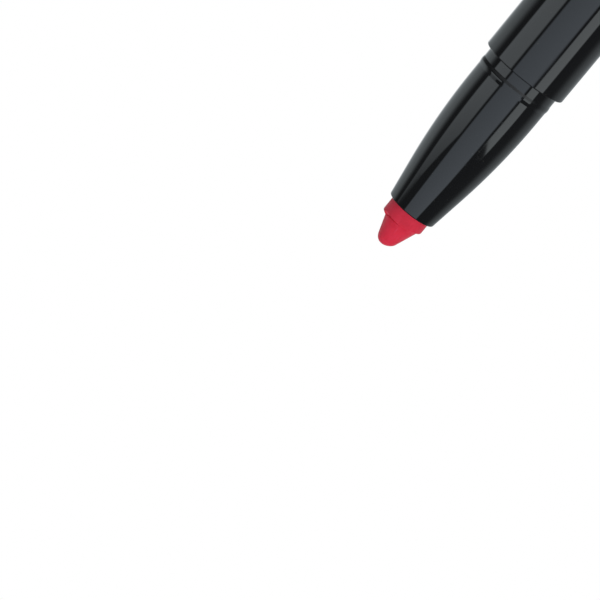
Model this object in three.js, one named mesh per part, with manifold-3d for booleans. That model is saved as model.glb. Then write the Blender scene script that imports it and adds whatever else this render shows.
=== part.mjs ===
// A twist-up crayon pencil: a stepped stick of soft red crayon in a glossy black barrel.
// Turning the tail turns a tube with two helical grooves. The carrier's lugs ride in those grooves
// and in the straight slots of a fixed guide, so the carrier slides without turning.
// Millimetres. Z runs up the axis, from the flat rear end to the crayon's tip.
import * as THREE from "three";
import { mergeVertices } from "three/addons/utils/BufferGeometryUtils.js";
import Module from "manifold-3d";

const wasm = await Module();
wasm.setup();

// Facets
const turnedSegments = 48;
const arcSagitta = 0.01; // the most that a facet cuts inside a round corner

// Fits between pieces
const runningGap = 0.15; // pieces that turn or slide on each other
const pressGap = 0.08; // walls that are pressed together
const seatGap = 0.1; // faces that rest on each other
const stopGap = 0.3; // what is left at the forward end of the feed
const endGap = 0.5; // between the ends of tubes that must not bind
const overrun = 1; // how far each cutter runs past the face that it opens

// Crayon
const crayonRadius = 3.6;
const crayonLength = 42;
const crayonExposed = 7.4; // the tip ahead of the mouth at rest
const collarExposed = 2.44; // the full-width part ahead of the mouth at rest
const crayonGap = 0.12; // between the crayon and the mouth
const ledgeRise = 0.16; // from the collar's edge to the cone's foot
const ledgeRound = 0.2;
const collarTilt = THREE.MathUtils.degToRad(4.6); // slant of the collar's edge
const footTilt = THREE.MathUtils.degToRad(10); // slant of the cone's foot
const tipTilt = THREE.MathUtils.degToRad(5.5); // slant of the round tip
const tipRadius = 1.87;
const tipHalfAngle = THREE.MathUtils.degToRad(19.5);
const coneLean = THREE.MathUtils.degToRad(1.5);
const creaseWidth = 0.3; // a crease along one side of the cone's foot
const creaseDepth = 0.22;
const creaseTilt = THREE.MathUtils.degToRad(7); // how far the crease takes back the slant
const creaseMiddle = THREE.MathUtils.degToRad(29); // from -Y towards +X
const creaseHalf = THREE.MathUtils.degToRad(36);
const creaseRunOut = 4; // the power by which the crease fades towards its ends
const crayonChamfer = 0.3;
const tipShelter = 1.6; // the tip behind the mouth when it is turned in

// Carrier: a cup on a cross-shaped rod, with two lugs on its foot
const cupGap = 0.1;
const cupWall = 0.45;
const cupDepth = 6.4;
const cupFloor = 1.2;
const cupLip = 0.15;
const rodWeb = 1.3;
const footHeight = 2.4;
const lugRadius = 0.8;
const lugEngagement = 0.65; // how deep a lug stands in its helical groove
const lugSegments = 12;

// Guide: a tube with two straight slots, open at the rear, and keys that lock it in the nose
const guideWall = 0.65;
const guideFork = 4; // guide below the lowest place of the lugs
const keyCount = 4;
const keyWidth = 1.2;
const keyDepth = 0.6;
const keyLength = 9;
const keySetback = 1; // from the end of the nose's stem to the keys

// Cam tube: two helical grooves inside, a drag ring and a snap bead outside, notches below
const feedLead = 12; // feed of the carrier in one turn of the tail
const grooveStarts = 2;
const grooveSegments = 32; // cutter steps in one turn
const camWall = 1.4;
const camLand = 2.2; // cam above the highest place of the lugs
const camLeadIn = 0.3;
const camStep = 0.7; // inward step that carries the guide's end
const beadRise = 3; // from the barrel shell's rear end
const beadDepth = 0.3;
const beadWidth = 1.2;
const ringSection = 0.45;
const ringLand = 1.4; // from the helical grooves to the drag ring
const ringSides = 8;

// Tail: a shell with drive ribs that stand in the cam tube's notches, closed by a plug
const ribCount = 4;
const ribWidth = 1.2;
const ribDepth = 0.85;
const ribHeight = 5.4;
const tailLength = 27.2;
const plugFlange = 1.6;
const plugInset = 0.12;
const plugRound = 0.6;
const plugStem = 6.4;
const plugWall = 1;

// Barrel shell
const twistGap = 0.3; // between the tail and the barrel shell
const shellWall = 0.85;
const shellLength = 56.8;
const edgeRound = 0.2;

// Nose: a cone blended into a neck, with a stem in the barrel shell
const lipWall = 0.6;
const lipRound = 0.22;
const noseLength = 28.6; // from the seat of the cap to the mouth
const noseCorner = 14.9; // from the mouth to where the cone would meet the neck
const noseBlend = 113; // radius that rounds that corner
const noseStep = 5.5; // from the mouth to the stop of the cup
const guideDepth = 12; // from the mouth to the end of the guide
const stemLength = 10;
const capSeatWidth = 0.88;
const neckBeadRise = 2.4;
const neckBeadDepth = 0.12;
const neckBeadWidth = 1.4;

// Radii, from the crayon outwards
const cupBore = crayonRadius + cupGap;
const cupRadius = cupBore + cupWall;
const guideBore = cupRadius + runningGap;
const guideRadius = guideBore + guideWall;
const camBore = guideRadius + runningGap;
const lugReach = camBore + lugEngagement;
const grooveRadius = lugReach + runningGap;
const camRadius = camBore + camWall;
const shellBore = camRadius + runningGap;
const shellRadius = shellBore + shellWall;
const beadRadius = camRadius + beadDepth;
const tailBore = camRadius + pressGap;
const neckRadius = shellRadius - capSeatWidth;
const mouthBore = crayonRadius + crayonGap;
const mouthRadius = mouthBore + lipWall;
const noseBore = guideRadius + pressGap;
const stemRadius = shellBore - pressGap;

// Heights along the axis, with the flat rear end at zero
const tailBottom = plugFlange + seatGap;
const tailTop = tailBottom + tailLength;
const shellBottom = tailTop + twistGap;
const capSeat = shellBottom + shellLength;
const mouth = capSeat + noseLength;
const tip = mouth + crayonExposed;
const crayonBottom = tip - crayonLength;
const cupFloorTop = crayonBottom - seatGap;
const cupTop = cupFloorTop + cupDepth;
const cupBottom = cupFloorTop - cupFloor;
const cupStop = mouth - noseStep;
const guideStop = mouth - guideDepth;
const stemBottom = capSeat - stemLength;
const camTop = stemBottom - endGap;
const camBottom = plugFlange + plugStem + endGap;

// Feed of the carrier from rest: out until the cup nears its stop, in until the tip is sheltered
const feedOut = cupStop - stopGap - cupTop;
const feedIn = crayonExposed + tipShelter;
const lugHeight = camTop - camLand - lugRadius - feedOut;
const lugLowest = lugHeight - feedIn;
const guideBottom = lugLowest - lugRadius - guideFork;
const camStepTop = guideBottom - runningGap;
const ringHeight = lugLowest - lugRadius - runningGap - ringLand - ringSection;

// One closed solid of a geometry, with its faces turned outwards.
function solid(geometry) {
  const bare = geometry.clone();
  bare.deleteAttribute("normal");
  bare.deleteAttribute("uv");
  const merged = mergeVertices(bare);
  const closed = (triVerts) =>
    new wasm.Manifold(
      new wasm.Mesh({ numProp: 3, vertProperties: merged.attributes.position.array, triVerts }),
    );
  const corners = new Uint32Array(merged.index.array);
  const made = closed(corners);
  return made.volume() > 0 ? made : closed(corners.reverse());
}

// The mesh of a solid, or of a geometry made solid.
function piece(name, shape, material) {
  const body = shape instanceof THREE.BufferGeometry ? solid(shape) : shape;
  const { vertProperties, triVerts } = body.getMesh();
  const geometry = new THREE.BufferGeometry();
  geometry.setAttribute("position", new THREE.BufferAttribute(vertProperties, 3));
  geometry.setIndex(new THREE.BufferAttribute(triVerts, 1));
  geometry.computeVertexNormals();
  const mesh = new THREE.Mesh(geometry, material);
  mesh.name = name;
  return mesh;
}

// How many facets an arc needs.
function arcSteps(radius, turn) {
  return Math.ceil(turn / (2 * Math.acos(1 - Math.min(arcSagitta / radius, 1))));
}

// The arc that rounds a corner between its two neighbours, as points in the order of the outline.
function roundedCorner(before, corner, after, round) {
  const back = before.clone().sub(corner);
  const ahead = after.clone().sub(corner);
  const half = Math.acos(back.clone().normalize().dot(ahead.clone().normalize())) / 2;
  const setback = Math.min(round / Math.tan(half), back.length(), ahead.length());
  const radius = setback * Math.tan(half);
  const start = corner.clone().add(back.setLength(setback));
  const end = corner.clone().add(ahead.setLength(setback));
  const middle = start.clone().add(end).divideScalar(2);
  const centre = corner.clone().add(middle.sub(corner).setLength(radius / Math.sin(half)));
  const from = start.clone().sub(centre).angle();
  const to = end.clone().sub(centre).angle();
  const clockwise = back.cross(ahead) > 0;
  const arc = new THREE.EllipseCurve(centre.x, centre.y, radius, radius, from, to, clockwise);
  return arc.getPoints(arcSteps(radius, Math.PI - 2 * half));
}

// Points of a closed outline. A corner is [radius, height], or [radius, height, round].
function outline(corners) {
  const places = corners.map(([radius, height]) => new THREE.Vector2(radius, height));
  return corners.flatMap(([, , round = 0], i) => {
    const after = places[(i + 1) % places.length];
    return round > 0 ? roundedCorner(places.at(i - 1), places[i], after, round) : [places[i]];
  });
}

// A geometry turned round Z from a closed outline.
function turned(points, segments = turnedSegments) {
  return new THREE.LatheGeometry([...points, points[0]], segments).rotateX(Math.PI / 2);
}

// A block that stands on a wall: along X from one radius to another, and from one height to another.
function block(innerRadius, outerRadius, width, bottom, top) {
  const box = new THREE.BoxGeometry(outerRadius - innerRadius, width, top - bottom);
  return box.translate((innerRadius + outerRadius) / 2, 0, (bottom + top) / 2);
}

// Copies of a geometry spread evenly round Z, as solids.
function spread(geometry, count) {
  return Array.from({ length: count }, (_, i) =>
    solid(geometry.clone().rotateZ((i / count) * 2 * Math.PI)),
  );
}

// A box wound round Z as a left-hand helix. It passes through X at the height of the lugs.
function windingCutter(innerRadius, outerRadius, height, bottom, top) {
  const turns = (top - bottom) / feedLead;
  const steps = Math.ceil(turns * grooveSegments);
  const winding = new THREE.BoxGeometry(1, 1, 1, 1, steps, 1);
  const place = winding.getAttribute("position");
  for (let i = 0; i < place.count; i++) {
    const radius = THREE.MathUtils.lerp(innerRadius, outerRadius, place.getX(i) + 0.5);
    const climb = THREE.MathUtils.lerp(bottom, top, place.getY(i) + 0.5);
    const angle = (-(climb - lugHeight) / feedLead) * 2 * Math.PI;
    const side = place.getZ(i) * height;
    place.setXYZ(i, radius * Math.cos(angle), radius * Math.sin(angle), climb + side);
  }
  return winding;
}

// A round pin that lies along X, from one radius to another.
function radialPin(radius, innerRadius, outerRadius, height) {
  const pin = new THREE.CylinderGeometry(radius, radius, outerRadius - innerRadius, lugSegments);
  return pin.rotateZ(Math.PI / 2).translate((innerRadius + outerRadius) / 2, 0, height);
}

// The crayon: a cylinder, a ledge, a cone and a round tip. Its base is at zero.
function crayonShape() {
  const ledge = crayonLength - crayonExposed + collarExposed;
  const coneFoot = ledge + ledgeRise;
  const tipCentre = crayonLength - tipRadius;
  const arcFoot = tipCentre + tipRadius * Math.sin(tipHalfAngle);
  const coneRadius = (height) =>
    tipRadius * Math.cos(tipHalfAngle) + (arcFoot - height) * Math.tan(tipHalfAngle);
  const ledgeSlope = ledgeRise / (crayonRadius - coneRadius(coneFoot));
  const creaseSide = creaseWidth / 2;
  const tipArc = new THREE.EllipseCurve(0, tipCentre, tipRadius, tipRadius, tipHalfAngle, Math.PI / 2);
  const shape = turned([
    ...outline([
      [0, 0],
      [crayonRadius - crayonChamfer, 0],
      [crayonRadius, crayonChamfer],
      [crayonRadius, ledge, ledgeRound],
      [coneRadius(coneFoot) + creaseSide, coneFoot - creaseSide * ledgeSlope],
      [coneRadius(coneFoot), coneFoot],
      [coneRadius(coneFoot + creaseSide), coneFoot + creaseSide],
    ]),
    ...tipArc.getPoints(arcSteps(tipRadius, Math.PI / 2 - tipHalfAngle)),
  ]);
  return slantedTip(shape, ledge, coneFoot, arcFoot);
}

// Slants the ledge and the round tip, leans the cone and presses the crease into its foot.
function slantedTip(shape, ledge, coneFoot, arcFoot) {
  const place = shape.getAttribute("position");
  const spot = new THREE.Vector3();
  for (let i = 0; i < place.count; i++) {
    spot.fromBufferAttribute(place, i);
    const onLedge = spot.z > ledge - 2 * ledgeRound && spot.z < coneFoot + creaseWidth;
    const onCone = THREE.MathUtils.smoothstep(spot.z, ledge, coneFoot);
    const onTip = THREE.MathUtils.smoothstep(spot.z, arcFoot, crayonLength);
    const atFoot = Math.max(1 - Math.abs(spot.z - coneFoot) / (creaseWidth / 2), 0);
    const creased = creaseShare(Math.atan2(spot.x, -spot.y));
    const tilt = THREE.MathUtils.lerp(collarTilt, footTilt, onCone) - creased * creaseTilt;
    const rise = spot.x * (onLedge ? Math.tan(tilt) : onTip * Math.tan(tipTilt));
    const pressed = creaseDepth * atFoot * creased;
    const inward = (onLedge ? onCone * rise * Math.tan(tipHalfAngle) : 0) + pressed;
    const radius = Math.hypot(spot.x, spot.y);
    if (radius > 0) spot.multiply(new THREE.Vector3(1 - inward / radius, 1 - inward / radius, 1));
    spot.z = Math.min(spot.z + rise - pressed, crayonLength);
    spot.x += onCone * (spot.z - coneFoot) * Math.tan(coneLean);
    place.setXYZ(i, spot.x, spot.y, spot.z);
  }
  return shape;
}

// How deep the crease is at an angle, as a share of its depth.
function creaseShare(angle) {
  return 1 - Math.min(Math.abs(angle - creaseMiddle) / creaseHalf, 1) ** creaseRunOut;
}

// The carrier in its rest place: cup, cross-shaped rod, foot and the two lugs on one pin.
function carrierShape() {
  const cup = turned(
    outline([
      [0, cupBottom],
      [cupRadius, cupBottom],
      [cupRadius, cupTop],
      [cupBore + cupLip, cupTop],
      [cupBore, cupTop - cupLip],
      [cupBore, cupFloorTop],
      [0, cupFloorTop],
    ]),
  );
  const footBottom = lugHeight - footHeight / 2;
  const foot = new THREE.CylinderGeometry(cupRadius, cupRadius, footHeight, turnedSegments);
  foot.rotateX(Math.PI / 2).translate(0, 0, lugHeight);
  const web = block(-cupRadius, cupRadius, rodWeb, footBottom, cupBottom + cupFloor / 2);
  const rod = solid(web).add(solid(web.clone().rotateZ(Math.PI / 2)));
  const sleeve = new THREE.CylinderGeometry(cupRadius, cupRadius, 2 * cupTop, turnedSegments);
  const lugs = solid(radialPin(lugRadius, -lugReach, lugReach, lugHeight));
  return rod
    .intersect(solid(sleeve.rotateX(Math.PI / 2)))
    .add(solid(foot))
    .add(solid(cup))
    .add(lugs);
}

// The guide: a tube, keys near its middle and two slots that run out at its rear end.
function guideShape() {
  const guideTop = guideStop - seatGap;
  const tube = turned(
    outline([
      [guideBore, guideBottom],
      [guideRadius, guideBottom],
      [guideRadius, guideTop],
      [guideBore, guideTop],
    ]),
  );
  const keyBottom = stemBottom + keySetback;
  const keyTop = keyBottom + keyLength;
  const key = block(guideBore + guideWall / 2, guideRadius + keyDepth, keyWidth, keyBottom, keyTop);
  const slotWidth = 2 * (lugRadius + runningGap);
  const slotTop = lugHeight + feedOut;
  const reach = guideRadius + overrun;
  const slot = solid(block(-reach, reach, slotWidth, guideBottom - overrun, slotTop));
  const slotEnd = solid(radialPin(lugRadius + runningGap, -reach, reach, slotTop));
  return wasm.Manifold.union([solid(tube), ...spread(key, keyCount)])
    .subtract(slot)
    .subtract(slotEnd);
}

// The cam tube, with all that the pieces round it seat in.
function camShape() {
  const stemBore = camBore - camStep;
  const ringSeat = shellBore - pressGap - 2 * ringSection - pressGap;
  const ringHalf = ringSection + pressGap;
  const bead = shellBottom + beadRise;
  const tube = turned(
    outline([
      [stemBore, camBottom],
      [camRadius, camBottom],
      [camRadius, bead - beadWidth / 2],
      [beadRadius, bead],
      [camRadius, bead + beadWidth / 2],
      [camRadius, ringHeight - ringHalf],
      [ringSeat, ringHeight - ringHalf],
      [ringSeat, ringHeight + ringHalf],
      [camRadius, ringHeight + ringHalf],
      [camRadius, camTop],
      [camBore + camLeadIn, camTop],
      [camBore, camTop - camLeadIn],
      [camBore, camStepTop],
      [stemBore, camStepTop],
    ]),
  );
  const pitchAngle = Math.atan(feedLead / (2 * Math.PI * lugReach));
  const grooveHeight = (2 * (lugRadius + runningGap)) / Math.cos(pitchAngle);
  const cutterBore = camBore - overrun;
  const cutter = windingCutter(cutterBore, grooveRadius, grooveHeight, lugLowest, camTop + overrun);
  const grooveEnd = radialPin(lugRadius + runningGap, cutterBore, grooveRadius, lugLowest);
  grooveEnd.rotateZ((feedIn / feedLead) * 2 * Math.PI);
  const notch = block(
    camRadius - ribDepth - seatGap,
    camRadius + overrun,
    ribWidth + 2 * seatGap,
    camBottom - overrun,
    camBottom + ribHeight + seatGap,
  );
  return solid(tube).subtract(
    wasm.Manifold.union([
      ...spread(cutter, grooveStarts),
      ...spread(grooveEnd, grooveStarts),
      ...spread(notch, ribCount),
    ]),
  );
}

// The drag ring in its groove on the cam tube.
function dragRingShape() {
  const ring = new THREE.TorusGeometry(
    shellBore - pressGap - ringSection,
    ringSection,
    ringSides,
    turnedSegments,
  );
  return ring.translate(0, 0, ringHeight);
}

// The tail shell, with its drive ribs.
function tailShape() {
  const tube = turned(
    outline([
      [tailBore, tailBottom],
      [shellRadius, tailBottom, edgeRound],
      [shellRadius, tailTop, edgeRound],
      [tailBore, tailTop],
    ]),
  );
  const ribRoot = (tailBore + shellRadius) / 2;
  const rib = block(camRadius - ribDepth, ribRoot, ribWidth, camBottom, camBottom + ribHeight);
  return wasm.Manifold.union([solid(tube), ...spread(rib, ribCount)]);
}

// The plug that closes the tail: a flange with a hollow stem.
function plugShape() {
  const stemTop = plugFlange + plugStem;
  const flangeRadius = shellRadius - plugInset;
  const plugRadius = tailBore - pressGap;
  return turned(
    outline([
      [0, 0],
      [flangeRadius, 0, plugRound],
      [flangeRadius, plugFlange],
      [plugRadius, plugFlange],
      [plugRadius, stemTop, edgeRound],
      [plugRadius - plugWall, stemTop],
      [plugRadius - plugWall, plugFlange],
      [0, plugFlange],
    ]),
  );
}

// The barrel shell, with a groove inside for the cam tube's bead.
function shellShape() {
  const bead = shellBottom + beadRise;
  const grooveHalf = beadWidth / 2 + runningGap;
  return turned(
    outline([
      [shellBore, shellBottom],
      [shellRadius, shellBottom, edgeRound],
      [shellRadius, capSeat, edgeRound],
      [shellBore, capSeat, edgeRound],
      [shellBore, bead + grooveHalf],
      [beadRadius + runningGap, bead],
      [shellBore, bead - grooveHalf],
    ]),
  );
}

// The nose: lip, cone and neck outside, and the bores for crayon, cup and guide inside.
function noseShape() {
  const neckBead = capSeat + neckBeadRise;
  const body = turned(
    outline([
      [mouthBore, mouth],
      [mouthBore, cupStop],
      [guideBore, cupStop],
      [guideBore, guideStop],
      [noseBore, guideStop],
      [noseBore, stemBottom],
      [stemRadius, stemBottom, edgeRound],
      [stemRadius, capSeat],
      [neckRadius, capSeat],
      [neckRadius, neckBead - neckBeadWidth / 2],
      [neckRadius + neckBeadDepth, neckBead, neckBeadWidth],
      [neckRadius, neckBead + neckBeadWidth / 2],
      [neckRadius, mouth - noseCorner, noseBlend],
      [mouthRadius, mouth, lipRound],
    ]),
  );
  const keyway = block(
    noseBore - overrun,
    guideRadius + keyDepth + seatGap,
    keyWidth + 2 * seatGap,
    stemBottom - overrun,
    stemBottom + keySetback + keyLength + seatGap,
  );
  return solid(body).subtract(wasm.Manifold.union(spread(keyway, keyCount)));
}

const glossBlack = new THREE.MeshStandardMaterial({ color: 0x0c0d0e, roughness: 0.12, metalness: 0 });
const crayonRed = new THREE.MeshStandardMaterial({ color: 0xc83246, roughness: 0.5, metalness: 0 });
const shadeRed = new THREE.MeshStandardMaterial({ color: 0xb02338, roughness: 0.15, metalness: 0 });
const naturalWhite = new THREE.MeshStandardMaterial({ color: 0xe4e2dc, roughness: 0.45, metalness: 0 });
const slipWhite = new THREE.MeshStandardMaterial({ color: 0xd4d6d8, roughness: 0.35, metalness: 0 });
const rubberBlack = new THREE.MeshStandardMaterial({ color: 0x1a1a1a, roughness: 0.8, metalness: 0 });

// What the hand holds still
const barrel = new THREE.Group();
barrel.add(piece("nose", noseShape(), glossBlack));
barrel.add(piece("barrel_shell", shellShape(), glossBlack));
barrel.add(piece("guide_tube", guideShape(), naturalWhite));

// What turns with the tail
const tail = new THREE.Group();
tail.add(piece("tail_shell", tailShape(), glossBlack));
tail.add(piece("end_plug", plugShape(), shadeRed));
tail.add(piece("cam_tube", camShape(), slipWhite));
tail.add(piece("drag_ring", dragRingShape(), rubberBlack));

// What slides along the axis
const feed = new THREE.Group();
const crayon = piece("crayon", crayonShape(), crayonRed);
crayon.position.z = crayonBottom;
feed.add(crayon);
feed.add(piece("carrier", carrierShape(), naturalWhite));

const pencil = new THREE.Group();
pencil.add(barrel, tail, feed);

export default pencil;
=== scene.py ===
"""Looks of a twist-up crayon pencil: a stepped red crayon in a glossy black barrel.

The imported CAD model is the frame. What shows is turned again with smooth walls, and what is hidden
inside keeps its CAD mesh with a finish of its own. Metres, Z up the axis from the flat rear end.
"""

import logging
import math
from dataclasses import dataclass, field
from enum import Enum
from typing import Iterable, Sequence

import bmesh
import bpy
from mathutils import Matrix, Vector


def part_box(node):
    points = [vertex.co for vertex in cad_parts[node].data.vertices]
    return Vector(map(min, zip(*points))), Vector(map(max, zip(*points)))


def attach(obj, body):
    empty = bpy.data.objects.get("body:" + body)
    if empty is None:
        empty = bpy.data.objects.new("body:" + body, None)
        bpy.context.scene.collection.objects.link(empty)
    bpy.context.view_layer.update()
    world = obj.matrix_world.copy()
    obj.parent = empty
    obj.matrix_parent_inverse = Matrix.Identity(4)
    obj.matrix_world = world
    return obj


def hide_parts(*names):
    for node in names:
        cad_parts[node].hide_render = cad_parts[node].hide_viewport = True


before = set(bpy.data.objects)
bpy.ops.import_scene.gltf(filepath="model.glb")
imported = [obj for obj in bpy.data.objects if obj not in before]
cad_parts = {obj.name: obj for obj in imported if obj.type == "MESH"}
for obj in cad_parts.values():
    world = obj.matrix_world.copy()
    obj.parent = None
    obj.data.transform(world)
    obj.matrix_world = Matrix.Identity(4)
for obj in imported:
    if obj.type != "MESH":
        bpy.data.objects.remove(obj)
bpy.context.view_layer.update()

MM = 0.001
TURN_STEPS = 256  # facets round the axis
ARC_SAGITTA = 0.0003 * MM  # the most that a facet cuts inside a round corner
HOLD_WIDTH = 0.1 * MM  # a ring this far from a round corner keeps the wall beside it straight
HOLD_SHARE = 0.25  # the most that the ring may take of a short wall
MERGE_DISTANCE = 0.0001 * MM
SHARP_ANGLE = math.radians(32)  # past this an edge between faces stays sharp

Color = tuple[float, float, float]
Triple = tuple[float, float, float]
Socket = bpy.types.NodeSocket

BARREL_BLACK: Color = (0.0030, 0.0032, 0.0036)
PLUG_RED: Color = (0.36, 0.014, 0.03)
PLUG_DUST: Color = (0.5, 0.2, 0.2)
GUIDE_WHITE: Color = (0.72, 0.70, 0.65)
GUIDE_SCUFF: Color = (0.5, 0.48, 0.44)
CAM_WHITE: Color = (0.62, 0.64, 0.66)
CAM_SCUFF: Color = (0.45, 0.46, 0.48)
CAM_SLIP = 0.34  # roughness of the slippery cam tube
RUBBER_BLACK: Color = (0.02, 0.02, 0.021)
RUBBER_SCUFF: Color = (0.05, 0.05, 0.05)
RUBBER_MATT = 0.62  # roughness of the rubber ring

log = logging.getLogger("crayon_pencil")


class Body(Enum):
    """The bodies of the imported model."""

    BARREL = "barrel"
    TAIL = "tail"
    FEED = "feed"


class Slot(Enum):
    """The names of the record's material slots; the finishes below are made under the same names."""

    GLOSS_BLACK = "gloss_black"
    SHADE_RED = "shade_red"
    CRAYON_RED = "crayon_red"


class Carving(Enum):
    """What one mesh does to another."""

    CUT = "DIFFERENCE"
    JOIN = "UNION"


class Facing(Enum):
    """Which way round an arc runs in the half plane of radius and height."""

    CONVEX = 1
    CONCAVE = -1


@dataclass(frozen=True)
class Corner:
    """A corner of a turned outline.

    Attributes:
        radius: distance from the axis.
        height: height along the axis.
        round: radius of the arc that rounds the corner, or zero.
    """

    radius: float
    height: float
    round: float = 0.0


class Outline:
    """A wire in the half plane of radius and height, drawn by lines and spun arcs."""

    def __init__(self) -> None:
        """Starts with an empty mesh."""
        self.mesh = bmesh.new()
        self.end: bmesh.types.BMVert | None = None

    def line_to(self, radius: float, height: float) -> None:
        """Draws a straight stretch.

        Args:
            radius: distance of its end from the axis.
            height: height of its end.
        """
        vert = self.mesh.verts.new((radius, 0.0, height))
        if self.end is not None:
            self.mesh.edges.new((self.end, vert))
        self.end = vert

    def arc_about(self, radius: float, height: float, angle: float) -> None:
        """Swings the end of the wire about a centre.

        Args:
            radius: distance of the centre from the axis.
            height: height of the centre.
            angle: how far the end swings, positive from +X towards -Z.
        """
        reach = (self.end.co - Vector((radius, 0.0, height))).length
        facet = 2 * math.acos(1 - min(ARC_SAGITTA / reach, 1.0))
        swung = bmesh.ops.spin(
            self.mesh,
            geom=[self.end],
            cent=(radius, 0.0, height),
            axis=(0.0, 1.0, 0.0),
            angle=angle,
            steps=math.ceil(abs(angle) / facet),
            use_duplicate=False,
        )
        self.end = next(e for e in swung["geom_last"] if isinstance(e, bmesh.types.BMVert))

    def hold(self, wall: Vector, setback: float) -> float:
        """Works out how far past a round the ring that holds the wall straight stands."""
        return min(HOLD_WIDTH, (wall.length - setback) * HOLD_SHARE)

    def corner(self, before: Vector, at: Corner, after: Vector) -> None:
        """Draws one corner, sharp or rounded.

        Args:
            before: the corner ahead of it in the outline.
            at: the corner.
            after: the corner that follows it.
        """
        place = Vector((at.radius, at.height))
        if at.round <= 0.0:
            self.line_to(*place)
            return
        back, ahead = before - place, after - place
        half = back.angle(ahead) / 2
        setback = min(at.round / math.tan(half), back.length, ahead.length)
        radius = setback * math.tan(half)
        middle = (back.normalized() + ahead.normalized()).normalized()
        centre = place + middle * (radius / math.sin(half))
        facing = Facing.CONVEX if back.cross(ahead) > 0 else Facing.CONCAVE
        self.line_to(*(place + back.normalized() * (setback + self.hold(back, setback))))
        self.line_to(*(place + back.normalized() * setback))
        self.arc_about(*centre, facing.value * (math.pi - 2 * half))
        self.line_to(*(place + ahead.normalized() * (setback + self.hold(ahead, setback))))

    def corners(self, corners: Sequence[Corner], closed: bool) -> None:
        """Draws a run of corners.

        Args:
            corners: the corners in order.
            closed: whether the last corner joins the first.
        """
        places = [Vector((c.radius, c.height)) for c in corners]
        for i, corner in enumerate(corners):
            self.corner(places[i - 1], corner, places[(i + 1) % len(places)])
        if closed:
            self.mesh.verts.ensure_lookup_table()
            self.mesh.edges.new((self.end, self.mesh.verts[0]))

    def turned(self) -> bmesh.types.BMesh:
        """Spins the wire once round the axis.

        Returns:
            The closed mesh, with its faces turned outwards.
        """
        bmesh.ops.spin(
            self.mesh,
            geom=self.mesh.verts[:] + self.mesh.edges[:],
            cent=(0.0, 0.0, 0.0),
            axis=(0.0, 0.0, 1.0),
            angle=math.tau,
            steps=TURN_STEPS,
            use_merge=True,
            use_duplicate=False,
        )
        bmesh.ops.remove_doubles(self.mesh, verts=self.mesh.verts, dist=MERGE_DISTANCE)
        bmesh.ops.recalc_face_normals(self.mesh, faces=self.mesh.faces)
        return self.mesh


def turned_tube(corners: Sequence[Corner]) -> bmesh.types.BMesh:
    """Turns a closed outline that stays clear of the axis.

    Args:
        corners: its corners in order.

    Returns:
        The closed mesh.
    """
    outline = Outline()
    outline.corners(corners, closed=True)
    return outline.turned()


def as_object(name: str, mesh: bmesh.types.BMesh) -> bpy.types.Object:
    """Makes a shown object of a mesh, smooth but for its sharp edges.

    Args:
        name: name of the piece.
        mesh: its mesh, which is freed.

    Returns:
        The object, at the origin.
    """
    data = bpy.data.meshes.new(name)
    mesh.to_mesh(data)
    mesh.free()
    data.shade_smooth()
    data.set_sharp_from_angle(angle=SHARP_ANGLE)
    piece = bpy.data.objects.new(name, data)
    bpy.context.scene.collection.objects.link(piece)
    return piece


def radial_blocks(
    count: int, inner: float, outer: float, width: float, bottom: float, top: float
) -> bmesh.types.BMesh:
    """Spreads equal blocks round the axis, the first on +X.

    Args:
        count: how many.
        inner: distance of their inner faces from the axis.
        outer: distance of their outer faces.
        width: their width.
        bottom: height of their lower faces.
        top: height of their upper faces.

    Returns:
        The mesh.
    """
    mesh = bmesh.new()
    size = Matrix.Diagonal((outer - inner, width, top - bottom, 1.0))
    middle = Matrix.Translation(((inner + outer) / 2, 0.0, (bottom + top) / 2))
    for i in range(count):
        turn = Matrix.Rotation(i / count * math.tau, 4, "Z")
        bmesh.ops.create_cube(mesh, size=1.0, matrix=turn @ middle @ size)
    return mesh


def carved(body: bmesh.types.BMesh, tool: bmesh.types.BMesh, carving: Carving) -> bmesh.types.BMesh:
    """Cuts one mesh with another, or joins them to one closed shell.

    Args:
        body: the mesh that is worked on, which is freed.
        tool: the mesh that works on it, which is freed.
        carving: what the tool does.

    Returns:
        The new mesh.
    """
    target, cutter = as_object("carved_body", body), as_object("carving_tool", tool)
    work = target.modifiers.new("carving", "BOOLEAN")
    work.operation = carving.value
    work.solver = "EXACT"
    work.object = cutter
    result = bmesh.new()
    result.from_object(target, bpy.context.evaluated_depsgraph_get())
    for helper in (target, cutter):
        bpy.data.meshes.remove(helper.data)
    return result


def smooth_step(value: float, low: float, high: float) -> float:
    """Rises smoothly from nought to one.

    Args:
        value: the value.
        low: where the rise starts.
        high: where it ends.

    Returns:
        The share of the rise.
    """
    share = min(max((value - low) / (high - low), 0.0), 1.0)
    return share * share * (3 - 2 * share)


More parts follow.
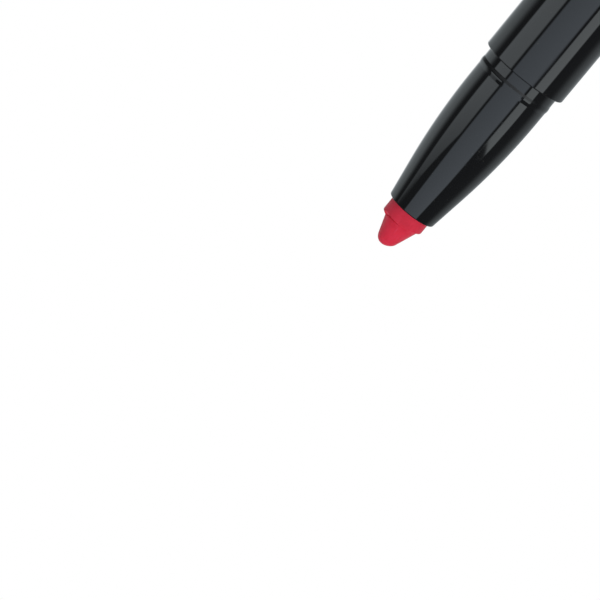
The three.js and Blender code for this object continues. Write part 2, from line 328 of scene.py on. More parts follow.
class Nodes:
    """A node tree, with the steps that effects, finishes and the surround are made of."""

    def __init__(self, tree: bpy.types.NodeTree) -> None:
        """Takes the tree that the nodes go in."""
        self.tree = tree

    def add(self, kind: str, **settings: object) -> bpy.types.Node:
        """Adds a node.

        Args:
            kind: type of the node.
            settings: values of the node's own properties.

        Returns:
            The node.
        """
        node = self.tree.nodes.new(kind)
        for key, value in settings.items():
            setattr(node, key, value)
        return node

    def feed(self, target: Socket, value: Socket | float | Sequence[float]) -> None:
        """Links an input to a socket, or sets it to a value.

        Args:
            target: the input.
            value: the socket or the value.
        """
        if isinstance(value, Socket):
            self.tree.links.new(value, target)
        else:
            target.default_value = value

    def math(self, operation: str, *values: Socket | float) -> Socket:
        """Works out a number.

        Args:
            operation: the math node's operation.
            values: what it works on.

        Returns:
            The socket of the result.
        """
        node = self.add("ShaderNodeMath", operation=operation)
        for target, value in zip(node.inputs, values):
            self.feed(target, value)
        return node.outputs[0]

    def ranged(
        self,
        value: Socket,
        start: float,
        end: float,
        low: float = 0.0,
        high: float = 1.0,
        shape: str = "LINEAR",
    ) -> Socket:
        """Carries a value from one range to another, held at both ends.

        Args:
            value: the value.
            start: start of its range.
            end: end of its range.
            low: what the start becomes.
            high: what the end becomes.
            shape: how it runs between them.

        Returns:
            The socket of the result.
        """
        node = self.add("ShaderNodeMapRange", interpolation_type=shape)
        self.feed(node.inputs["Value"], value)
        self.feed(node.inputs["From Min"], start)
        self.feed(node.inputs["From Max"], end)
        self.feed(node.inputs["To Min"], low)
        self.feed(node.inputs["To Max"], high)
        return node.outputs["Result"]

    def noise(self, place: Socket, scale: Socket | float, detail: float = 2.0) -> Socket:
        """Adds a soft random pattern.

        Args:
            place: the coordinates that it follows.
            scale: how fine it is, in waves to a metre.
            detail: how many finer layers it has.

        Returns:
            The socket of its level.
        """
        node = self.add("ShaderNodeTexNoise")
        self.feed(node.inputs["Vector"], place)
        self.feed(node.inputs["Scale"], scale)
        self.feed(node.inputs["Detail"], detail)
        return node.outputs["Fac"]

    def stretched(self, place: Socket, scale: Triple, turn: Triple = (0.0, 0.0, 0.0)) -> Socket:
        """Stretches and turns the coordinates of a pattern.

        Args:
            place: the coordinates.
            scale: a factor for each axis, less than one for longer marks.
            turn: a turn about each axis.

        Returns:
            The socket of the new coordinates.
        """
        node = self.add("ShaderNodeMapping")
        self.feed(node.inputs["Vector"], place)
        self.feed(node.inputs["Scale"], scale)
        self.feed(node.inputs["Rotation"], turn)
        return node.outputs["Vector"]

    def mixed(self, mask: Socket, below: Color | Socket, above: Color | Socket) -> Socket:
        """Mixes two colours by a mask.

        Args:
            mask: where the second colour shows.
            below: the first colour.
            above: the second colour.

        Returns:
            The socket of the mixed colour.
        """
        node = self.add("ShaderNodeMix", data_type="RGBA")
        self.feed(node.inputs["Factor"], mask)
        for name, color in (("A", below), ("B", above)):
            self.feed(node.inputs[name], color if isinstance(color, Socket) else (*color, 1.0))
        return node.outputs["Result"]

    def bumped(self, height: Socket, distance: float, strength: float = 1.0) -> Socket:
        """Tilts the surface by a pattern.

        Args:
            height: the pattern.
            distance: how high it stands.
            strength: how much of it counts.

        Returns:
            The socket of the normal.
        """
        node = self.add("ShaderNodeBump")
        self.feed(node.inputs["Height"], height)
        self.feed(node.inputs["Distance"], distance)
        self.feed(node.inputs["Strength"], strength)
        return node.outputs["Normal"]


class Effect(Nodes):
    """A shader node group with named inputs and one mask, shared by the finishes."""

    def __init__(self, name: str, levels: dict[str, float]) -> None:
        """Starts a group that reads coordinates and gives a mask.

        Args:
            name: name of the group.
            levels: its other inputs with their defaults.
        """
        super().__init__(bpy.data.node_groups.new(name, "ShaderNodeTree"))
        sockets = self.tree.interface
        sockets.new_socket("Vector", in_out="INPUT", socket_type="NodeSocketVector")
        for key, level in levels.items():
            socket = sockets.new_socket(key, in_out="INPUT", socket_type="NodeSocketFloat")
            socket.default_value = level
        sockets.new_socket("Mask", in_out="OUTPUT", socket_type="NodeSocketFloat")
        self.inside = self.add("NodeGroupInput").outputs
        self.outside = self.add("NodeGroupOutput").inputs


@dataclass(frozen=True)
class DustSpecks:
    """Sparse specks of dust, bigger in some patches, as a mask."""

    name: str = "Specks"
    scale: float = 900.0
    share: float = 0.1
    patch_scale: float = 160.0
    soft_edge: float = 0.03

    def tree(self) -> bpy.types.NodeTree:
        """Builds the group, or finds it where a finish has built it.

        Returns:
            The node group.
        """
        if self.name in bpy.data.node_groups:
            return bpy.data.node_groups[self.name]
        effect = Effect(self.name, {"Scale": self.scale, "Share": self.share})
        cells = effect.add("ShaderNodeTexVoronoi", feature="F1")
        effect.feed(cells.inputs["Vector"], effect.inside["Vector"])
        effect.feed(cells.inputs["Scale"], effect.inside["Scale"])
        patches = effect.noise(effect.inside["Vector"], self.patch_scale)
        size = effect.math("MULTIPLY", patches, effect.inside["Share"])
        near = effect.math("SUBTRACT", size, cells.outputs["Distance"])
        effect.feed(effect.outside["Mask"], effect.ranged(near, 0.0, self.soft_edge))
        return effect.tree


@dataclass(frozen=True)
class HandlingScuffs:
    """Hairlines that run round and along a handled piece, as a mask."""

    name: str = "Scuffs"
    scale: float = 260.0
    detail: float = 4.0
    faint: float = 0.62
    full: float = 0.72
    along: Triple = (1.0, 1.0, 0.06)
    along_turn: float = 0.35
    across: Triple = (1.0, 0.08, 1.0)
    across_turn: float = 0.9

    def hairlines(self, effect: Effect, stretch: Triple, turn: float) -> Socket:
        """Adds one set of hairlines.

        Args:
            effect: the group.
            stretch: which way they are long.
            turn: how far they are turned out of line.

        Returns:
            The socket of their mask.
        """
        place = effect.stretched(effect.inside["Vector"], stretch, (turn, turn / 2, turn))
        lines = effect.noise(place, effect.inside["Scale"], self.detail)
        return effect.ranged(lines, self.faint, self.full)

    def tree(self) -> bpy.types.NodeTree:
        """Builds the group, or finds it where a finish has built it.

        Returns:
            The node group.
        """
        if self.name in bpy.data.node_groups:
            return bpy.data.node_groups[self.name]
        effect = Effect(self.name, {"Scale": self.scale})
        along = self.hairlines(effect, self.along, self.along_turn)
        across = self.hairlines(effect, self.across, self.across_turn)
        effect.feed(effect.outside["Mask"], effect.math("MAXIMUM", along, across))
        return effect.tree


class Surface(Nodes):
    """A material in the making: its shader, and the Object coordinates that patterns follow."""

    def __init__(self, name: str) -> None:
        """Starts a material.

        Args:
            name: its name.
        """
        self.material = bpy.data.materials.new(name)
        self.material.use_nodes = True
        super().__init__(self.material.node_tree)
        self.shader = next(n for n in self.tree.nodes if n.type == "BSDF_PRINCIPLED")
        self.place = self.add("ShaderNodeTexCoord").outputs["Object"]

    def paint(self, name: str, value: Socket | float | Sequence[float]) -> None:
        """Feeds one input of the shader."""
        self.feed(self.shader.inputs[name], value)

    def placed(self, effect: bpy.types.NodeTree, **levels: float) -> Socket:
        """Places a shared effect.

        Args:
            effect: the node group.
            levels: its inputs.

        Returns:
            The socket of its mask.
        """
        node = self.add("ShaderNodeGroup", node_tree=effect)
        self.feed(node.inputs["Vector"], self.place)
        for key, level in levels.items():
            self.feed(node.inputs[key], level)
        return node.outputs["Mask"]


@dataclass(frozen=True)
class PolishedMoulding:
    """Glossy injection-moulded plastic with faint waves, scuffs and dust."""

    name: str
    color: Color
    dust_color: Color = (0.035, 0.032, 0.028)
    dust_scale: float = 700.0
    dust_share: float = 0.12
    scuff_scale: float = 420.0
    roughness: float = 0.06
    scuffed_roughness: float = 0.14
    ior: float = 1.49
    wave_scale: float = 90.0
    wave_height: float = 0.004 * MM

    def make(self) -> bpy.types.Material:
        """Builds the material.

        Returns:
            The material.
        """
        surface = Surface(self.name)
        surface.paint("IOR", self.ior)
        dust = surface.placed(DustSpecks().tree(), Scale=self.dust_scale, Share=self.dust_share)
        scuffs = surface.placed(HandlingScuffs().tree(), Scale=self.scuff_scale)
        surface.paint("Base Color", surface.mixed(dust, self.color, self.dust_color))
        worn = surface.math("MAXIMUM", dust, scuffs)
        rough = surface.ranged(worn, 0.0, 1.0, self.roughness, self.scuffed_roughness)
        surface.paint("Roughness", rough)
        waves = surface.noise(surface.place, self.wave_scale)
        surface.paint("Normal", surface.bumped(waves, self.wave_height))
        return surface.material


@dataclass(frozen=True)
class WaxCrayon:
    """Soft pigmented wax: even red with faint clouds, drag lines along the stick and fine pores."""

    name: str
    color: Color = (0.61, 0.0225, 0.049)
    deep_color: Color = (0.54, 0.0150, 0.036)
    bloom_color: Color = (0.67, 0.040, 0.074)
    roughness: float = 0.5
    roughness_spread: float = 0.16
    gloss: float = 0.2
    sheen: float = 0.2
    sheen_roughness: float = 0.4
    sheen_tint: Color = (1.0, 0.8, 0.82)
    scatter: float = 0.12
    scatter_reach: float = 0.6 * MM
    scatter_tint: Triple = (1.0, 0.18, 0.12)
    cloud_scale: float = 420.0
    cloud_range: tuple[float, float] = (0.5, 0.72)
    drag_stretch: Triple = (1.0, 1.0, 0.12)
    drag_scale: float = 1500.0
    drag_range: tuple[float, float] = (0.56, 0.8)
    drag_detail: float = 4.0
    pore_scale: float = 5200.0
    fine_detail: float = 3.0
    pore_height: float = 0.02 * MM
    pore_strength: float = 0.5

    def make(self) -> bpy.types.Material:
        """Builds the material.

        Returns:
            The material.
        """
        surface = Surface(self.name)
        surface.paint("Subsurface Weight", self.scatter)
        surface.paint("Subsurface Radius", self.scatter_tint)
        surface.paint("Subsurface Scale", self.scatter_reach)
        surface.paint("Specular IOR Level", self.gloss)
        surface.paint("Sheen Weight", self.sheen)
        surface.paint("Sheen Roughness", self.sheen_roughness)
        surface.paint("Sheen Tint", (*self.sheen_tint, 1.0))
        clouds = surface.noise(surface.place, self.cloud_scale, self.fine_detail)
        cloudiness = surface.ranged(clouds, *self.cloud_range)
        cloudy = surface.mixed(cloudiness, self.color, self.deep_color)
        along = surface.stretched(surface.place, self.drag_stretch)
        drag = surface.noise(along, self.drag_scale, self.drag_detail)
        bloom = surface.ranged(drag, *self.drag_range)
        surface.paint("Base Color", surface.mixed(bloom, cloudy, self.bloom_color))
        rougher = self.roughness + self.roughness_spread
        surface.paint("Roughness", surface.ranged(drag, 0.0, 1.0, self.roughness, rougher))
        pores = surface.noise(surface.place, self.pore_scale, self.fine_detail)
        height = surface.math("ADD", drag, pores)
        surface.paint("Normal", surface.bumped(height, self.pore_height, self.pore_strength))
        return surface.material


@dataclass(frozen=True)
class PlainMoulding:
    """Unpolished moulding of a hidden piece: fine spark texture and greyed scuffs."""

    name: str
    color: Color
    scuff_color: Color
    scuff_scale: float = 300.0
    roughness: float = 0.42
    smoother: float = 0.08
    rougher: float = 0.12
    grain_scale: float = 3000.0
    grain_height: float = 0.01 * MM

    def make(self) -> bpy.types.Material:
        """Builds the material.

        Returns:
            The material.
        """
        surface = Surface(self.name)
        scuffs = surface.placed(HandlingScuffs().tree(), Scale=self.scuff_scale)
        surface.paint("Base Color", surface.mixed(scuffs, self.color, self.scuff_color))
        grain = surface.noise(surface.place, self.grain_scale)
        low, high = self.roughness - self.smoother, self.roughness + self.rougher
        surface.paint("Roughness", surface.ranged(grain, 0.0, 1.0, low, high))
        surface.paint("Normal", surface.bumped(grain, self.grain_height))
        return surface.material


def dress(piece: bpy.types.Object, material: bpy.types.Material) -> bpy.types.Object:
    """Gives a piece or a CAD node one material.

    Args:
        piece: the object.
        material: its material.

    Returns:
        The object.
    """
    if piece.material_slots:
        for slot in piece.material_slots:
            slot.material = material
    else:
        piece.data.materials.append(material)
    return piece


def stand_for(piece: bpy.types.Object, node: str, body: Body) -> None:
    """Puts a piece in the place of a CAD node.

    Args:
        piece: the new piece.
        node: the node that it replaces.
        body: the body that it moves with.
    """
    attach(piece, body.value)
    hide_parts(node)


@dataclass
class FrontHalf:
    """Nose, barrel shell and the guide inside: what the hand holds still."""

    gloss: bpy.types.Material
    white: bpy.types.Material
    mouth_wall: float = 0.6 * MM
    mouth_gap: float = 0.12 * MM
    mouth_edge: float = 0.05 * MM
    lip_round: float = 0.22 * MM
    crayon_radius: float = 3.6 * MM
    cone_meets_neck: float = 14.9 * MM
    blend_radius: float = 113.0 * MM
    cup_stop: float = 5.5 * MM
    guide_stop: float = 12.0 * MM
    cup_bore: float = 4.3 * MM
    guide_bore: float = 5.03 * MM
    bead_depth: float = 0.12 * MM
    bead_rise: float = 2.4 * MM
    bead_width: float = 1.4 * MM
    bead_foot: float = 0.3 * MM
    shell_wall: float = 0.85 * MM
    wall_gap: float = 0.08 * MM
    edge_round: float = 0.2 * MM
    snap_rise: float = 3.0 * MM
    snap_depth: float = 0.3 * MM
    snap_half: float = 0.75 * MM
    keyway_count: int = 4
    keyway_reach: float = 5.65 * MM
    keyway_width: float = 1.4 * MM
    keyway_length: float = 10.1 * MM
    overrun: float = 0.5 * MM
    shell_low: Vector = field(default_factory=lambda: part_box("barrel_shell")[0])
    shell_high: Vector = field(default_factory=lambda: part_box("barrel_shell")[1])
    nose_low: Vector = field(default_factory=lambda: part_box("nose")[0])
    nose_high: Vector = field(default_factory=lambda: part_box("nose")[1])

    def build_nose(self) -> bpy.types.Object:
        """Turns the nose, from the lip down the outside and up the bores, and cuts its keyways.

        Returns:
            The piece.
        """
        mouth, seat, stem = self.nose_high.z, self.shell_high.z, self.nose_low.z
        bore = self.crayon_radius + self.mouth_gap
        neck = self.nose_high.x - self.bead_depth
        bead = seat + self.bead_rise
        stem_radius = self.shell_high.x - self.shell_wall - self.wall_gap
        mesh = turned_tube([
            Corner(bore, mouth, self.mouth_edge),
            Corner(bore + self.mouth_wall, mouth, self.lip_round),
            Corner(neck, mouth - self.cone_meets_neck, self.blend_radius),
            Corner(neck, bead + self.bead_width / 2, self.bead_foot),
            Corner(neck + self.bead_depth, bead, self.bead_width),
            Corner(neck, bead - self.bead_width / 2, self.bead_foot),
            Corner(neck, seat),
            Corner(stem_radius, seat),
            Corner(stem_radius, stem, self.edge_round),
            Corner(self.guide_bore, stem),
            Corner(self.guide_bore, mouth - self.guide_stop),
            Corner(self.cup_bore, mouth - self.guide_stop),
            Corner(self.cup_bore, mouth - self.cup_stop),
            Corner(bore, mouth - self.cup_stop),
        ])
        keyways = radial_blocks(
            self.keyway_count,
            self.guide_bore - self.overrun,
            self.keyway_reach,
            self.keyway_width,
            stem - self.overrun,
            stem + self.keyway_length,
        )
        return as_object("nose_moulding", carved(mesh, keyways, Carving.CUT))

    def build_shell(self) -> bpy.types.Object:
        """Turns the barrel shell, with the groove for the snap bead inside.

        Returns:
            The piece.
        """
        low, high, radius = self.shell_low.z, self.shell_high.z, self.shell_high.x
        bore = radius - self.shell_wall
        snap = low + self.snap_rise
        mesh = turned_tube([
            Corner(radius, high, self.edge_round),
            Corner(radius, low, self.edge_round),
            Corner(bore, low),
            Corner(bore, snap - self.snap_half),
            Corner(bore + self.snap_depth, snap),
            Corner(bore, snap + self.snap_half),
            Corner(bore, high, self.edge_round),
        ])
        return as_object("barrel_tube", mesh)

    def build(self) -> list[bpy.types.Object]:
        """Builds and dresses the front half.

        Returns:
            The pieces.
        """
        nose, shell = self.build_nose(), self.build_shell()
        stand_for(nose, "nose", Body.BARREL)
        stand_for(shell, "barrel_shell", Body.BARREL)
        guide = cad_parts["guide_tube"]
        return [dress(nose, self.gloss), dress(shell, self.gloss), dress(guide, self.white)]


@dataclass
class TailHalf:
    """Tail shell, end plug, cam tube and drag ring: what the fingers turn."""

    gloss: bpy.types.Material
    shade: bpy.types.Material
    slip: bpy.types.Material
    rubber: bpy.types.Material
    tail_bore: float = 6.58 * MM
    edge_round: float = 0.2 * MM
    plug_round: float = 0.6 * MM
    plug_flange: float = 1.6 * MM
    plug_wall: float = 1.0 * MM
    flange_edge: float = 0.08 * MM
    wall_gap: float = 0.08 * MM
    rib_inner: float = 5.65 * MM
    rib_width: float = 1.2 * MM
    rib_height: float = 5.4 * MM
    rib_count: int = 4
    tail_low: Vector = field(default_factory=lambda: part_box("tail_shell")[0])
    tail_high: Vector = field(default_factory=lambda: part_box("tail_shell")[1])
    plug_high: Vector = field(default_factory=lambda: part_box("end_plug")[1])
    cam_low: Vector = field(default_factory=lambda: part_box("cam_tube")[0])

    def build_tail(self) -> bpy.types.Object:
        """Turns the tail shell and stands its drive ribs inside.

        Returns:
            The piece.
        """
        low, high, radius = self.tail_low.z, self.tail_high.z, self.tail_high.x
        mesh = turned_tube([
            Corner(radius, high, self.edge_round),
            Corner(radius, low, self.edge_round),
            Corner(self.tail_bore, low),
            Corner(self.tail_bore, high),
        ])
        root = (self.tail_bore + radius) / 2
        foot, top = self.cam_low.z, self.cam_low.z + self.rib_height
        ribs = radial_blocks(self.rib_count, self.rib_inner, root, self.rib_width, foot, top)
        return as_object("tail_tube", carved(mesh, ribs, Carving.JOIN))

    def build_plug(self) -> bpy.types.Object:
        """Turns the end plug: a rounded flange with a hollow stem.

        Returns:
            The piece.
        """
        flange, top = self.plug_high.x, self.plug_high.z
        stem = self.tail_bore - self.wall_gap
        outline = Outline()
        corners = [
            Corner(0.0, 0.0),
            Corner(flange, 0.0, self.plug_round),
            Corner(flange, self.plug_flange, self.flange_edge),
            Corner(stem, self.plug_flange),
            Corner(stem, top, self.edge_round),
            Corner(stem - self.plug_wall, top),
            Corner(stem - self.plug_wall, self.plug_flange),
            Corner(0.0, self.plug_flange),
        ]
        outline.corners(corners, closed=False)
        return as_object("rear_plug", outline.turned())

    def build(self) -> list[bpy.types.Object]:
        """Builds and dresses the tail half.

        Returns:
            The pieces.
        """
        tail, plug = self.build_tail(), self.build_plug()
        stand_for(tail, "tail_shell", Body.TAIL)
        stand_for(plug, "end_plug", Body.TAIL)
        cam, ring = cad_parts["cam_tube"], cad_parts["drag_ring"]
        shells = [dress(tail, self.gloss), dress(plug, self.shade)]
        return [*shells, dress(cam, self.slip), dress(ring, self.rubber)]


@dataclass
class Feed:
    """The crayon and the carrier that pushes it."""

    wax: bpy.types.Material
    white: bpy.types.Material
    exposed: float = 7.4 * MM
    collar: float = 2.44 * MM
    ledge_rise: float = 0.16 * MM
    ledge_round: float = 0.2 * MM
    collar_tilt: float = math.radians(4.6)
    foot_tilt: float = math.radians(10.0)
    tip_tilt: float = math.radians(5.5)
    foot_chamfer: float = 0.3 * MM
    tip_radius: float = 1.87 * MM
    tip_angle: float = math.radians(19.5)
    cone_lean: float = math.radians(1.5)
    crease_width: float = 0.30 * MM
    crease_depth: float = 0.22 * MM
    crease_tilt: float = math.radians(7.0)
    crease_middle: float = math.radians(29.0)
    crease_half: float = math.radians(36.0)
    crease_run_out: int = 4
    crease_rings: tuple[float, ...] = (0.5, 0.25, 0.0)
    low: Vector = field(default_factory=lambda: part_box("crayon")[0])
    high: Vector = field(default_factory=lambda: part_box("crayon")[1])

    @property
    def ledge(self) -> float:
        """Height of the collar's edge."""
        return self.high.z - self.exposed + self.collar

    @property
    def cone_foot(self) -> float:
        """Height of the cone's foot."""
        return self.ledge + self.ledge_rise

    @property
    def arc_foot(self) -> float:
        """Height where the cone runs into the round tip."""
        return self.high.z - self.tip_radius + self.tip_radius * math.sin(self.tip_angle)

    def cone_radius(self, height: float) -> float:
        """Works out the cone's radius at a height."""
        top = self.tip_radius * math.cos(self.tip_angle)
        return top + (self.arc_foot - height) * math.tan(self.tip_angle)

    def crease_share(self, angle: float) -> float:
        """Works out the share of the crease's depth at an angle from -Y towards +X."""
        offset = min(abs(angle - self.crease_middle) / self.crease_half, 1.0)
        return 1 - offset**self.crease_run_out

    def shape_tip(self, mesh: bmesh.types.BMesh) -> None:
        """Slants the ledge and the round tip, leans the cone and presses the crease into its foot.

        Args:
            mesh: the turned crayon.
        """
        ledge, foot = self.ledge, self.cone_foot
        for vert in mesh.verts:
            x, y, z = vert.co
            on_ledge = ledge - 2 * self.ledge_round < z < foot + self.crease_width
            on_cone = smooth_step(z, ledge, foot)
            on_tip = smooth_step(z, self.arc_foot, self.high.z)
            at_foot = max(1 - abs(z - foot) / (self.crease_width / 2), 0.0)
            creased = self.crease_share(math.atan2(x, -y))
            tilt = self.collar_tilt + on_cone * (self.foot_tilt - self.collar_tilt)
            tilt -= creased * self.crease_tilt
            rise = x * (math.tan(tilt) if on_ledge else on_tip * math.tan(self.tip_tilt))
            pressed = self.crease_depth * at_foot * creased
            inward = pressed + (on_cone * rise * math.tan(self.tip_angle) if on_ledge else 0.0)
            radius = math.hypot(x, y)
            kept = 1 - inward / radius if radius > 0.0 else 1.0
            z = min(z + rise - pressed, self.high.z)
            lean = on_cone * (z - foot) * math.tan(self.cone_lean)
            vert.co = (x * kept + lean, y * kept, z)

    def build_crayon(self) -> bpy.types.Object:
        """Turns the crayon: cylinder, sloping ledge, cone and round tip.

        Returns:
            The piece.
        """
        radius, base, foot = self.high.x, self.low.z, self.cone_foot
        foot_radius = self.cone_radius(foot)
        slope = self.ledge_rise / (radius - foot_radius)
        corners = [
            Corner(0.0, base),
            Corner(radius - self.foot_chamfer, base),
            Corner(radius, base + self.foot_chamfer),
            Corner(radius, self.ledge, self.ledge_round),
        ]
        for share in self.crease_rings:
            step = share * self.crease_width
            corners.append(Corner(foot_radius + step, foot - step * slope))
        for share in reversed(self.crease_rings[:-1]):
            height = foot + share * self.crease_width
            corners.append(Corner(self.cone_radius(height), height))
        corners.append(Corner(self.cone_radius(self.arc_foot), self.arc_foot))
        outline = Outline()
        outline.corners(corners, closed=False)
        outline.arc_about(0.0, self.high.z - self.tip_radius, self.tip_angle - math.pi / 2)
        mesh = outline.turned()
        self.shape_tip(mesh)
        return as_object("crayon_stick", mesh)

    def build(self) -> list[bpy.types.Object]:
        """Builds and dresses the crayon and the carrier.

        Returns:
            The pieces.
        """
        crayon = self.build_crayon()
        stand_for(crayon, "crayon", Body.FEED)
        return [dress(crayon, self.wax), dress(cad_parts["carrier"], self.white)]


@dataclass(frozen=True)
class PhotoCamera:
    """The camera, placed so that the pencil lies in the picture as photographed.

    Attributes:
        pixels: width of the picture.
        scale: pixels to a metre at the mouth.
        distance: how far the camera stands from the mouth.
        look_up: how far it looks up along the pencil.
        axis_turn: how far the pencil's axis is turned in the picture.
        mouth_pixel: where the mouth's centre lies in the picture.
        sensor: width of its sensor in millimetres.
        nearest: the nearest thing that it sees.
    """

    pixels: float = 600.0
    scale: float = 6.24 / MM
    distance: float = 400.0 * MM
    look_up: float = math.radians(12.8)
    axis_turn: float = math.radians(39.5)
    mouth_pixel: tuple[float, float] = (411.57, 209.52)
    sensor: float = 36.0
    nearest: float = 10.0 * MM

    def build(self, mouth: Vector) -> bpy.types.Object:
        """Builds the camera.

        Args:
            mouth: centre of the nose's mouth.

        Returns:
            The camera.
        """
        focal = self.scale * self.distance
        half = self.pixels / 2
        right, up = self.mouth_pixel[0] - half, half - self.mouth_pixel[1]
        ray = Vector((right, up, -focal)).normalized()
        along = Vector((-math.sin(self.axis_turn), -math.cos(self.axis_turn), 0.0))
        along = (along - along.dot(ray) * ray).normalized()
        seen = Matrix((ray, along, ray.cross(along)))
        look = Vector((0.0, math.cos(self.look_up), math.sin(self.look_up)))
        rise = Vector((0.0, -math.sin(self.look_up), math.cos(self.look_up)))
        world = Matrix((look, rise, look.cross(rise))).transposed()
        data = bpy.data.cameras.new("photo_camera")
        data.sensor_width = self.sensor
        data.lens = self.sensor * focal / self.pixels
        data.clip_start = self.nearest
        camera = bpy.data.objects.new("photo_camera", data)
        camera.location = mouth - look * (self.distance / -ray.z)
        camera.rotation_euler = (world @ seen).to_euler()
        bpy.context.scene.collection.objects.link(camera)
        bpy.context.scene.camera = camera
        return camera


@dataclass(frozen=True)
class Lamp:
    """A square soft light that the gloss doesn't mirror, aimed at the tip.

    Angles are degrees, as for a panel.
    """

    name: str
    azimuth: float
    elevation: float
    distance: float
    size: float
    watts: float

    def build(self, target: Vector) -> bpy.types.Object:
        """Builds the light.

        Args:
            target: the place that it's aimed at.

        Returns:
            The light.
        """
        data = bpy.data.lights.new(self.name, "AREA")
        data.shape = "SQUARE"
        data.size = self.size
        data.energy = self.watts
        lamp = bpy.data.objects.new(self.name, data)
        turn, climb = math.radians(self.azimuth), math.radians(self.elevation)
        level = math.cos(climb)
        away = Vector((level * math.sin(turn), -level * math.cos(turn), math.sin(climb)))
        lamp.location = target + away * self.distance
        lamp.rotation_euler = away.to_track_quat("Z", "Y").to_euler()
        lamp.visible_glossy = False
        bpy.context.scene.collection.objects.link(lamp)
        return lamp


@dataclass(frozen=True)
class Softness:
    """Half the width of each edge of a panel, in degrees."""

    left: float = 2.5
    right: float = 2.5
    bottom: float = 2.5
    top: float = 2.5


@dataclass(frozen=True)
class Panel:
    """A soft light panel far round the pencil, as the gloss sees it.

    Angles are degrees. Azimuth is nought at the camera's side and grows towards +X.

    Attributes:
        left: azimuth of its left edge.
        right: azimuth of its right edge.
        bottom: elevation of its lower edge.
        top: elevation of its upper edge, at the left.
        light: its colour and strength at the left and bottom.
        soft: how soft its edges are.
        right_share: strength at the right edge, as a share.
        top_share: strength at the top edge, as a share.
        lean: how far its left edge moves right for each degree up.
        lean_from: elevation where the lean starts.
        slope: how far its upper edge climbs for each degree to the right.
    """

    left: float
    right: float
    bottom: float
    top: float
    light: Color
    soft: Softness = Softness()
    right_share: float = 1.0
    top_share: float = 1.0
    lean: float = 0.0
    lean_from: float = 0.0
    slope: float = 0.0

    def mask(self, nodes: Nodes, azimuth: Socket, elevation: Socket) -> Socket:
        """Works out how much of the panel a direction sees.

        Args:
            nodes: the world's nodes.
            azimuth: azimuth of the direction.
            elevation: its elevation.

        Returns:
            The socket of the share.
        """
        above = nodes.math("MAXIMUM", nodes.math("SUBTRACT", elevation, self.lean_from), 0.0)
        leant = nodes.math("SUBTRACT", azimuth, nodes.math("MULTIPLY", above, self.lean))
        along = nodes.math("SUBTRACT", azimuth, self.left)
        sloped = nodes.math("SUBTRACT", elevation, nodes.math("MULTIPLY", along, self.slope))
        past_left = self.past(nodes, leant, self.left, self.soft.left)
        past_right = self.past(nodes, azimuth, self.right, self.soft.right)
        past_bottom = self.past(nodes, elevation, self.bottom, self.soft.bottom)
        past_top = self.past(nodes, sloped, self.top, self.soft.top)
        across = nodes.math("MULTIPLY", past_left, nodes.math("SUBTRACT", 1.0, past_right))
        upright = nodes.math("MULTIPLY", past_bottom, nodes.math("SUBTRACT", 1.0, past_top))
        return nodes.math("MULTIPLY", across, upright)

    def past(self, nodes: Nodes, angle: Socket, edge: float, soft: float) -> Socket:
        """Works out the share of an angle that is past a soft edge."""
        return nodes.ranged(angle, edge - soft, edge + soft, shape="SMOOTHSTEP")

    def glow(self, nodes: Nodes, azimuth: Socket, elevation: Socket) -> Socket:
        """Works out the panel's light in a direction.

        Args:
            nodes: the world's nodes.
            azimuth: azimuth of the direction.
            elevation: its elevation.

        Returns:
            The socket of the colour.
        """
        across = nodes.ranged(azimuth, self.left, self.right, 1.0, self.right_share)
        upright = nodes.ranged(elevation, self.bottom, self.top, 1.0, self.top_share)
        faded = nodes.add("ShaderNodeVectorMath", operation="SCALE")
        nodes.feed(faded.inputs[0], self.light)
        nodes.feed(faded.inputs["Scale"], nodes.math("MULTIPLY", across, upright))
        return faded.outputs[0]


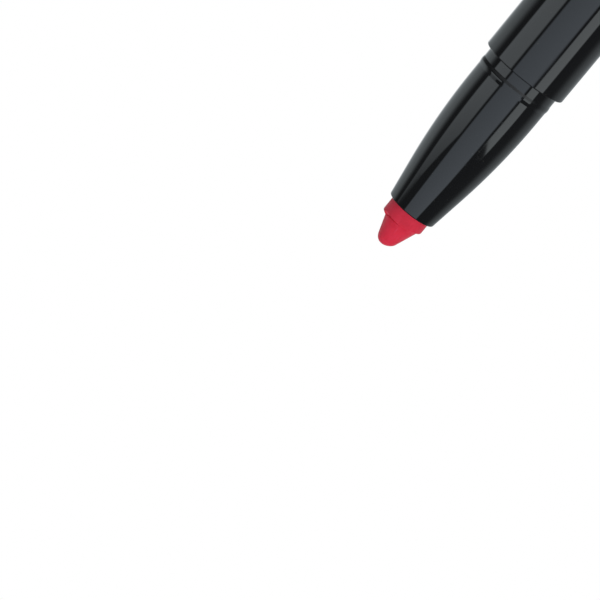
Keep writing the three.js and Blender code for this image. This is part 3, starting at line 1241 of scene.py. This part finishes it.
@dataclass(frozen=True)
class Surround:
    """Soft panels in a dim room, and the white that the camera sees behind the pencil."""

    dim: Color = (0.12, 0.125, 0.13)
    white: Color = (1.0, 1.0, 1.0)
    panels: tuple[Panel, ...] = (
        # the broad band down the middle of the nose
        Panel(-37, 24.5, -20, 36, (1.28, 1.44, 1.62), right_share=0.8, lean=-0.467, lean_from=15),
        # the band beside it, which its lean and its upper edge narrow towards the mouth
        Panel(
            31.5, 74.5, 5, 28.25, (1.58, 1.72, 1.80), Softness(top=0.18),
            top_share=0.4, lean=2.3, lean_from=18.4, slope=-0.03,
        ),
        # the rim on the same side, and what carries it on round the back
        Panel(
            97.5, 152, 5, 36, (0.96, 1.06, 1.10), Softness(left=12.5, right=6, bottom=6, top=6),
            right_share=0.68,
        ),
        Panel(
            152, 190, 5, 36, (1.00, 1.05, 1.08), Softness(left=3, right=3, bottom=3, top=3),
        ),
        # the rim on the other side
        Panel(-190, -107, -20, 36, (0.43, 0.47, 0.49), Softness(right=13)),
        # the short highlight near the neck, on a faint glow
        Panel(-70, -50, -20, 17, (0.33, 0.35, 0.36), Softness(top=0.5)),
        Panel(
            -68.8, -44.3, -20, 17.6, (1.85, 2.00, 2.05),
            Softness(left=1.2, right=1.2, bottom=1.2, top=0.4), slope=-0.062,
        ),
    )

    def build(self) -> bpy.types.World:
        """Builds the world.

        Returns:
            The world.
        """
        world = bpy.data.worlds.new("soft_panels")
        world.use_nodes = True
        nodes = Nodes(world.node_tree)
        nodes.tree.nodes.clear()
        axes = nodes.add("ShaderNodeSeparateXYZ")
        nodes.feed(axes.inputs[0], nodes.add("ShaderNodeTexCoord").outputs["Generated"])
        x, y, z = axes.outputs
        towards = nodes.math("MULTIPLY", y, -1.0)
        azimuth = nodes.math("DEGREES", nodes.math("ARCTAN2", x, towards))
        elevation = nodes.math("DEGREES", nodes.math("ARCSINE", z))
        light: Color | Socket = self.dim
        for panel in self.panels:
            mask = panel.mask(nodes, azimuth, elevation)
            light = nodes.mixed(mask, light, panel.glow(nodes, azimuth, elevation))
        camera_ray = nodes.add("ShaderNodeLightPath").outputs["Is Camera Ray"]
        background = nodes.add("ShaderNodeBackground")
        nodes.feed(background.inputs["Color"], nodes.mixed(camera_ray, light, self.white))
        output = nodes.add("ShaderNodeOutputWorld")
        nodes.feed(output.inputs["Surface"], background.outputs[0])
        bpy.context.scene.world = world
        return world


@dataclass(frozen=True)
class Floor:
    """A pale floor that fades to the white surround far away."""

    radius: float = 1.2
    segments: int = 96
    color: Color = (0.86, 0.87, 0.88)
    roughness: float = 0.7
    gloss: float = 0.2
    fade_start: float = 0.25  # share of the radius
    fade_end: float = 0.95

    def finish(self) -> bpy.types.Material:
        """Builds the floor's material.

        Returns:
            The material.
        """
        surface = Surface("pale_floor")
        surface.paint("Base Color", (*self.color, 1.0))
        surface.paint("Roughness", self.roughness)
        surface.paint("Specular IOR Level", self.gloss)
        length = surface.add("ShaderNodeVectorMath", operation="LENGTH")
        surface.feed(length.inputs[0], surface.place)
        start, end = self.radius * self.fade_start, self.radius * self.fade_end
        far = surface.ranged(length.outputs["Value"], start, end, shape="SMOOTHSTEP")
        fade = surface.add("ShaderNodeMixShader")
        surface.feed(fade.inputs[0], far)
        surface.feed(fade.inputs[1], surface.shader.outputs[0])
        surface.feed(fade.inputs[2], surface.add("ShaderNodeBsdfTransparent").outputs[0])
        output = next(n for n in surface.tree.nodes if n.type == "OUTPUT_MATERIAL")
        surface.feed(output.inputs["Surface"], fade.outputs[0])
        return surface.material

    def build(self) -> bpy.types.Object:
        """Lays the floor.

        Returns:
            The floor.
        """
        mesh = bmesh.new()
        bmesh.ops.create_circle(mesh, cap_ends=True, segments=self.segments, radius=self.radius)
        floor = dress(as_object("floor", mesh), self.finish())
        return floor


@dataclass
class Studio:
    """Camera, lights, surround and floor."""

    mouth: Vector = field(default_factory=lambda: Vector((0.0, 0.0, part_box("nose")[1].z)))
    camera: PhotoCamera = PhotoCamera()
    surround: Surround = Surround()
    floor: Floor = Floor()
    lamps: tuple[Lamp, ...] = (
        Lamp("side_light", azimuth=-38, elevation=14, distance=0.8, size=0.35, watts=2.2),
        Lamp("top_light", azimuth=0, elevation=90, distance=1.0, size=0.8, watts=3.9),
    )

    def build(self) -> list[bpy.types.Object]:
        """Builds the studio.

        Returns:
            The camera, the lights and the floor.
        """
        self.surround.build()
        lights = [lamp.build(self.mouth) for lamp in self.lamps]
        return [self.camera.build(self.mouth), *lights, self.floor.build()]


def report(pieces: Iterable[bpy.types.Object]) -> None:
    """Logs each piece with its size.

    Args:
        pieces: the pieces.
    """
    for piece in pieces:
        width, depth, height = (size / MM for size in piece.dimensions)
        log.info("%s: %.1f x %.1f x %.1f mm", piece.name, width, depth, height)


def main() -> None:
    """Builds the finishes, the pieces and the studio in order."""
    logging.basicConfig(level=logging.INFO, format="%(message)s")
    bpy.context.scene.view_settings.view_transform = "Standard"
    gloss = PolishedMoulding("gloss_black", BARREL_BLACK).make()
    shade = PolishedMoulding("shade_red", PLUG_RED, dust_color=PLUG_DUST).make()
    wax = WaxCrayon("crayon_red").make()
    white = PlainMoulding("natural_white", GUIDE_WHITE, GUIDE_SCUFF).make()
    slip = PlainMoulding("slip_white", CAM_WHITE, CAM_SCUFF, roughness=CAM_SLIP).make()
    rubber = PlainMoulding("ring_rubber", RUBBER_BLACK, RUBBER_SCUFF, roughness=RUBBER_MATT).make()
    front = FrontHalf(gloss, white)
    tail = TailHalf(gloss, shade, slip, rubber)
    for part in (Studio(), front, tail, Feed(wax, white)):
        report(part.build())


if __name__ == "__main__":
    main()
